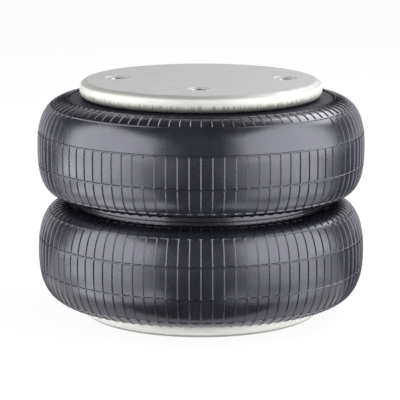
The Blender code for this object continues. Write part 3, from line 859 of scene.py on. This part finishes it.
def girdle_outside():
    """Outer side of the ring from slit to slit: round inside, two leaning bands outside."""
    tilt = math.radians(BAND_TILT)
    full = GIRDLE_TUBE_RADIUS
    low_edge, high_edge = -PARTING_DROP - PARTING_EDGE, PARTING_EDGE - PARTING_DROP
    slit = 180 - GIRDLE_SLIT_HALF
    points = arc((0.0, 0.0), full, -slit, -90, steps=20)
    points += arc((full - LOW_CORNER, LOW_CORNER - full), LOW_CORNER, -90, BAND_TILT, steps=10)
    across, height = points[-1]
    across -= (low_edge - height) * math.tan(tilt)
    points.append((across, low_edge))
    points += [(across - PARTING_DEPTH, -PARTING_DROP + side * PARTING_FLOOR) for side in (-1, 1)]
    across = full - BAND_STEP
    points.append((across, high_edge))
    top = full - HIGH_CORNER * (1 - math.sin(tilt))
    across -= (top - high_edge) * math.tan(tilt)
    high_centre = (across - HIGH_CORNER * math.cos(tilt), full - HIGH_CORNER)
    points += arc(high_centre, HIGH_CORNER, BAND_TILT, 90, steps=10)
    return points + arc((0.0, 0.0), full, 90, slit, steps=20)


def make_girdle():
    """The rubber-covered ring in the waist, with the narrow groove round its middle."""
    slit = 180 - GIRDLE_SLIT_HALF
    profile = girdle_outside()
    profile += arc((0.0, 0.0), GIRDLE_WIRE_RADIUS + CLEARANCE, slit, -slit, steps=16)
    profile = [(GIRDLE_RADIUS + across, WAIST_HEIGHT + height) for across, height in profile]
    ring = turned("girdle_ring_rubber", profile, GIRDLE_SEGMENTS, True)
    even_normals(ring, GIRDLE_SHARP)
    ring.data.materials.append(rubber("girdle_rubber", **RUBBERS["girdle_rubber"]))
    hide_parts("girdle_cover")
    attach(ring, "girdle")


def dress_wires():
    """The wire cores keep their solids and get a drawn-wire finish."""
    material = wire_steel("wire_steel")
    for node in ("top_bead_wire", "bottom_bead_wire", "girdle_wire"):
        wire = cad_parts[node]
        wire.data.materials.clear()
        wire.data.materials.append(material)


# Studio.

FLOOR_SIZE = 14.0
FLOOR_SHADE = (0.90, 0.90, 0.90, 1.0)
FLOOR_WHITE = 0.93           # share of plain white that the camera sees, the rest keeps the shadow
SOFTBOXES = {                # middle, point that it faces, size, radiance
    "softbox_left": ((-1.25, -1.00, 0.85), (0.0, -1.00, 0.85), (2.4, 1.6), 3.7),
    "softbox_right": ((1.25, -0.97, 1.10), (0.0, -0.97, 1.10), (2.5, 2.1), 3.7),
    "softbox_behind": ((0.98, 1.05, 1.42), (0.0, 0.0, 0.20), (1.4, 0.85), 5.5),
}
BOUNCES = {                  # low reflectors: middle, size, degrees turned, radiance
    "bounce_near_left": ((-0.365, -0.243), (0.28, 0.40), 30.0, 2.6),
    "bounce_near_right": ((0.362, -0.264), (0.28, 0.38), -34.0, 1.9),
    "bounce_foot_left": ((-0.154, -0.180), (0.088, 0.21), 45.0, 2.5),
    "bounce_foot_right": ((0.150, -0.184), (0.088, 0.21), -47.0, 1.4),
    "bounce_far_left": ((-0.92, -0.36), (0.60, 1.10), 0.0, 3.5),
    "bounce_far_right": ((0.92, -0.50), (0.60, 0.90), 0.0, 3.0),
}
BOUNCE_HEIGHT = 0.004
CARDS = {                    # black cards on the floor: middle, size, degrees turned
    "card_front": ((0.0, -1.50), (0.62, 2.7), 0.0),
    "card_left": ((-0.80, 0.97), (2.0, 1.2), -24.0),
    "card_right": ((0.85, 0.85), (2.0, 1.3), 16.0),
}
CARD_HEIGHT = 0.003
CARD_SHADE = (0.02, 0.02, 0.02, 1.0)
CARD_ROUGH = 0.9
AMBIENT = 0.50               # the world's strength for diffuse light
WORLD_SHADES = (             # direction's coordinate, from, to, share of white there and there
    ("Z", 0.25, 0.70, 1.0, 0.45),
    ("Y", 0.65, 0.95, 0.15, 1.0),
)


def make_floor():
    """A white floor, which keeps a pale shadow of the object."""
    bpy.ops.mesh.primitive_plane_add(size=FLOOR_SIZE)
    floor = bpy.context.object
    floor.name = "studio_floor"
    material = bpy.data.materials.new("studio_floor")
    material.use_nodes = True
    n = Nodes(material.node_tree)
    n.tree.nodes.clear()
    diffuse = n.tree.nodes.new("ShaderNodeBsdfDiffuse")
    diffuse.inputs["Color"].default_value = FLOOR_SHADE
    white = n.tree.nodes.new("ShaderNodeEmission")
    white.inputs["Strength"].default_value = 1.0
    path = n.tree.nodes.new("ShaderNodeLightPath").outputs
    seen = n.maths("MAXIMUM", path["Is Camera Ray"], path["Is Glossy Ray"])
    seen = n.maths("MAXIMUM", seen, path["Is Transmission Ray"])
    mix = n.tree.nodes.new("ShaderNodeMixShader")
    n.join(n.times(seen, FLOOR_WHITE), mix.inputs["Fac"])
    n.join(diffuse.outputs["BSDF"], mix.inputs[1])
    n.join(white.outputs["Emission"], mix.inputs[2])
    output = n.tree.nodes.new("ShaderNodeOutputMaterial")
    n.join(mix.outputs["Shader"], output.inputs["Surface"])
    floor.data.materials.append(material)


def make_card(name, place, size, degrees):
    """A black card on the floor, which only shiny surfaces see."""
    bpy.ops.mesh.primitive_plane_add(size=1.0, location=(place[0], place[1], CARD_HEIGHT))
    card = bpy.context.object
    card.name = name
    card.scale = (size[0], size[1], 1.0)
    card.rotation_euler = (0.0, 0.0, math.radians(degrees))
    card.visible_camera = False
    card.visible_diffuse = False
    card.visible_shadow = False
    card.visible_transmission = False
    material = bpy.data.materials.new(name)
    material.use_nodes = True
    shader = material.node_tree.nodes["Principled BSDF"]
    shader.inputs["Base Color"].default_value = CARD_SHADE
    shader.inputs["Roughness"].default_value = CARD_ROUGH
    card.data.materials.append(material)


def make_light(name, place, rotation, size, radiance):
    """A rectangular light that the camera doesn't see."""
    light = bpy.data.lights.new(name, "AREA")
    light.shape = "RECTANGLE"
    light.size, light.size_y = size
    light.energy = radiance * math.pi * size[0] * size[1]
    item = bpy.data.objects.new(name, light)
    bpy.context.scene.collection.objects.link(item)
    item.location = place
    item.rotation_euler = rotation
    item.visible_camera = False


def make_lights():
    """Softboxes, which leave the object's front dark between them, and low reflectors.

    The reflectors lift the undersides of the convolutions.
    """
    for name, (place, aim, size, radiance) in SOFTBOXES.items():
        facing = (Vector(aim) - Vector(place)).to_track_quat("-Z", "Y").to_euler()
        make_light(name, place, facing, size, radiance)
    for name, (place, size, degrees, radiance) in BOUNCES.items():
        facing_up = (math.pi, 0.0, math.radians(degrees))
        make_light(name, (*place, BOUNCE_HEIGHT), facing_up, size, radiance)


def make_world():
    """White for the camera, even for diffuse light, and for reflections pale only behind and low."""
    world = bpy.data.worlds.new("studio")
    bpy.context.scene.world = world
    world.use_nodes = True
    n = Nodes(world.node_tree)
    background = n.tree.nodes["Background"]
    background.inputs["Color"].default_value = (1.0, 1.0, 1.0, 1.0)
    place = n.tree.nodes.new("ShaderNodeTexCoord")
    split = n.tree.nodes.new("ShaderNodeSeparateXYZ")
    n.join(place.outputs["Generated"], split.inputs["Vector"])
    shades = [n.spread(split.outputs[axis], *span) for axis, *span in WORLD_SHADES]
    path = n.tree.nodes.new("ShaderNodeLightPath").outputs
    strength = n.mix(path["Is Diffuse Ray"], n.times(*shades), AMBIENT, "FLOAT")
    strength = n.mix(path["Is Camera Ray"], strength, 1.0, "FLOAT")
    n.join(strength, background.inputs["Strength"])


def make_camera():
    """The photograph's view."""
    camera = bpy.data.cameras.new("camera")
    camera.lens = CAMERA_LENS
    camera.sensor_width = CAMERA_SENSOR
    camera.shift_x = CAMERA_SHIFT
    item = bpy.data.objects.new("camera", camera)
    bpy.context.scene.collection.objects.link(item)
    turn = math.radians(CAMERA_TURN)
    item.location = (CAMERA_DISTANCE * math.sin(turn), -CAMERA_DISTANCE * math.cos(turn), CAMERA_HEIGHT)
    item.rotation_euler = (math.radians(90.0 - CAMERA_PITCH), 0.0, turn)
    bpy.context.scene.camera = item


def main():
    """Builds the visual model and the studio."""
    make_camera()
    make_plates()
    make_fittings()
    make_bellows()
    make_girdle()
    dress_wires()
    make_floor()
    for name, (place, size, degrees) in CARDS.items():
        make_card(name, place, size, degrees)
    make_lights()
    make_world()
    bpy.context.scene.view_settings.view_transform = "Standard"


main()
